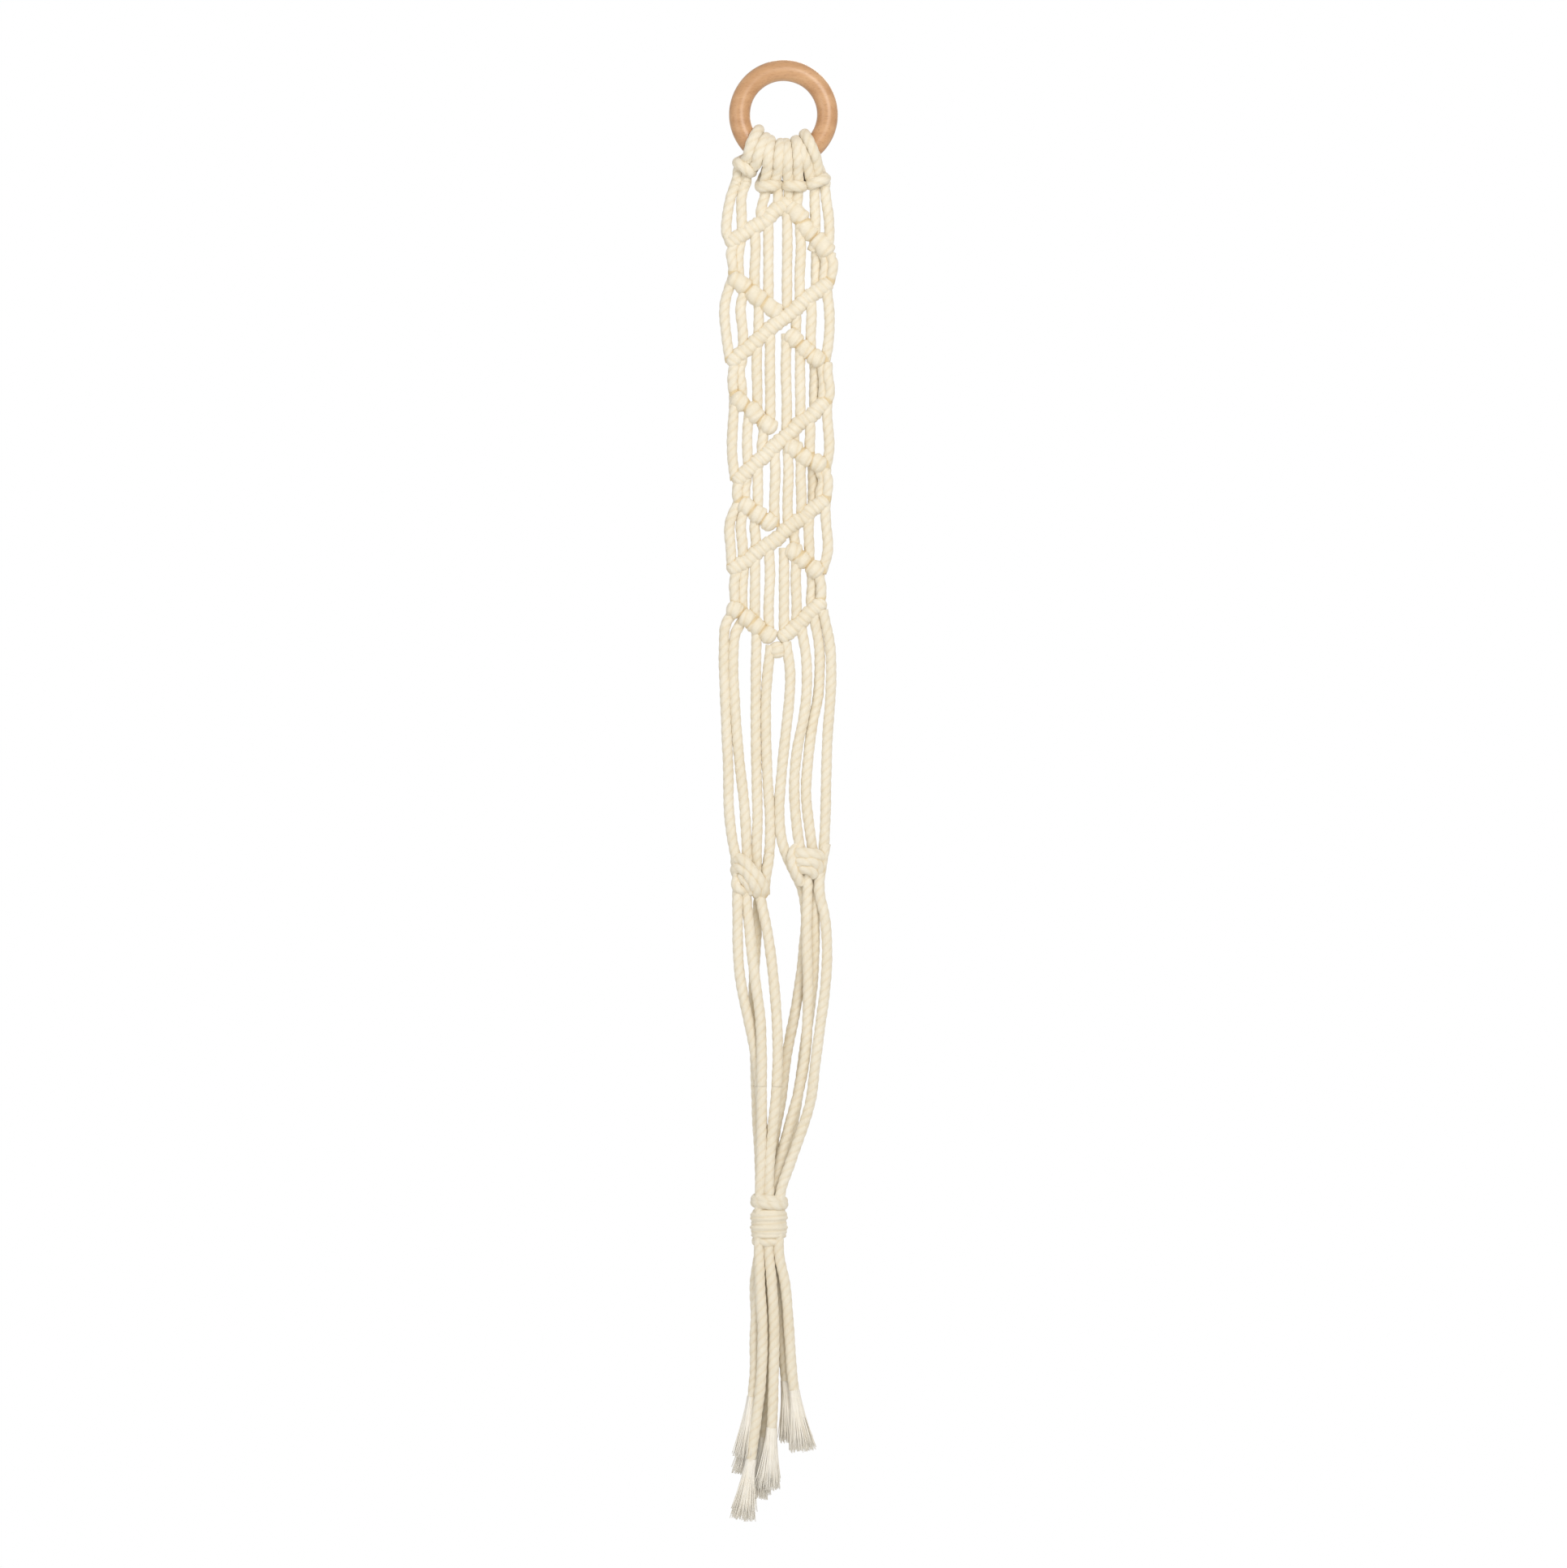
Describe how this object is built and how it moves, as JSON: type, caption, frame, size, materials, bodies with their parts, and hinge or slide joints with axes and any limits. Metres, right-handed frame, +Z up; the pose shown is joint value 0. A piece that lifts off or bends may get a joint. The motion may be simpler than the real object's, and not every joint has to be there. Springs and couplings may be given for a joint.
{
  "type": "hanging macrame planter",
  "caption": "Hanging macrame planter: knotted cotton cords on a wooden ring, a flat diamond panel, a cradle that spreads round a pot, a gathering wrap and a tassel.",
  "frame": {"origin": "the hook point: the lowest point of the ring's inner wall at its top, where it hangs", "axes": "+Z up, the front of the knotted panel faces -Y, +X to the right seen from the front"},
  "size_m": [0.0705, 0.0234, 0.8679],
  "materials": {
    "beech": "sanded and clear-coated, satin",
    "cotton": "natural undyed three-strand cotton rope, matt and slightly fuzzy"
  },
  "bodies": {
    "ring": {"wooden_ring": "beech"},
    "heads": {"larks_head_1": "cotton", "larks_head_2": "cotton", "larks_head_3": "cotton", "larks_head_4": "cotton"},
    "panel": {"shoulder_cord_1": "cotton", "shoulder_cord_2": "cotton", "shoulder_cord_3": "cotton", "shoulder_cord_4": "cotton", "neck_cord_1": "cotton", "neck_cord_2": "cotton", "neck_cord_3": "cotton", "neck_cord_4": "cotton", "diamond_1_upper_left": "cotton", "diamond_1_upper_right": "cotton", "diamond_1_lower_right": "cotton", "diamond_1_lower_left": "cotton", "diamond_2_upper_left": "cotton", "diamond_2_upper_right": "cotton", "diamond_2_lower_right": "cotton", "diamond_2_lower_left": "cotton", "diamond_3_upper_left": "cotton", "diamond_3_upper_right": "cotton", "diamond_3_lower_right": "cotton", "diamond_3_lower_left": "cotton", "diamond_4_upper_left": "cotton", "diamond_4_upper_right": "cotton", "diamond_4_lower_right": "cotton", "diamond_4_lower_left": "cotton", "bottom_knot": "cotton"},
    "leg_left": {"leg_cord_1": "cotton", "leg_cord_2": "cotton", "leg_cord_3": "cotton", "leg_cord_4": "cotton", "square_knot_left": "cotton"},
    "leg_right": {"leg_cord_5": "cotton", "leg_cord_6": "cotton", "leg_cord_7": "cotton", "leg_cord_8": "cotton", "square_knot_right": "cotton"},
    "cradle_left": {"cradle_cord_1": "cotton", "cradle_cord_2": "cotton", "cradle_cord_3": "cotton", "cradle_cord_4": "cotton"},
    "cradle_right": {"cradle_cord_5": "cotton", "cradle_cord_6": "cotton", "cradle_cord_7": "cotton", "cradle_cord_8": "cotton"},
    "wrap": {"gathering_wrap": "cotton"},
    "tassel": {"tassel_cord_1": "cotton", "tassel_cord_2": "cotton", "tassel_cord_3": "cotton", "tassel_cord_4": "cotton", "tassel_cord_5": "cotton", "tassel_cord_6": "cotton", "tassel_cord_7": "cotton", "tassel_cord_8": "cotton"}
  },
  "joints": [
    {"name": "ring_turn", "type": "hinge", "parent": "ring", "child": "heads", "pos_m": [0, 0, -0.02], "axis": [0, 1, 0], "continuous": true},
    {"name": "panel_fold", "type": "hinge", "parent": "heads", "child": "panel", "pos_m": [0, 0, -0.0634], "axis": [1, 0, 0], "range_deg": [-60, 60]},
    {"name": "cradle_open", "type": "hinge", "parent": "panel", "child": "leg_left", "pos_m": [-0.0221, 0, -0.3515], "axis": [0, 1, 0], "range_deg": [0, 30]},
    {"name": "leg_right_open", "type": "hinge", "parent": "panel", "child": "leg_right", "pos_m": [0.016, 0, -0.3515], "axis": [0, 1, 0], "range_deg": [-28, 1]},
    {"name": "cradle_left_bend", "type": "hinge", "parent": "leg_left", "child": "cradle_left", "pos_m": [-0.0187, 0, -0.4926], "axis": [0, 1, 0], "range_deg": [-55, 1]},
    {"name": "cradle_right_bend", "type": "hinge", "parent": "leg_right", "child": "cradle_right", "pos_m": [0.0172, 0, -0.4859], "axis": [0, 1, 0], "range_deg": [-1, 48]},
    {"name": "wrap_level", "type": "hinge", "parent": "cradle_left", "child": "wrap", "pos_m": [-0.0087, 0, -0.6682], "axis": [0, 1, 0], "range_deg": [-1, 25]},
    {"name": "tassel_swing", "type": "hinge", "parent": "wrap", "child": "tassel", "pos_m": [0, 0, -0.706], "axis": [1, 0, 0], "range_deg": [-45, 45]}
  ],
  "couplings": [
    {"joint": "leg_right_open", "follows": "cradle_open", "ratio": -0.901},
    {"joint": "cradle_left_bend", "follows": "cradle_open", "ratio": -1.807},
    {"joint": "cradle_right_bend", "follows": "cradle_open", "ratio": 1.569},
    {"joint": "wrap_level", "follows": "cradle_open", "ratio": 0.807}
  ]
}
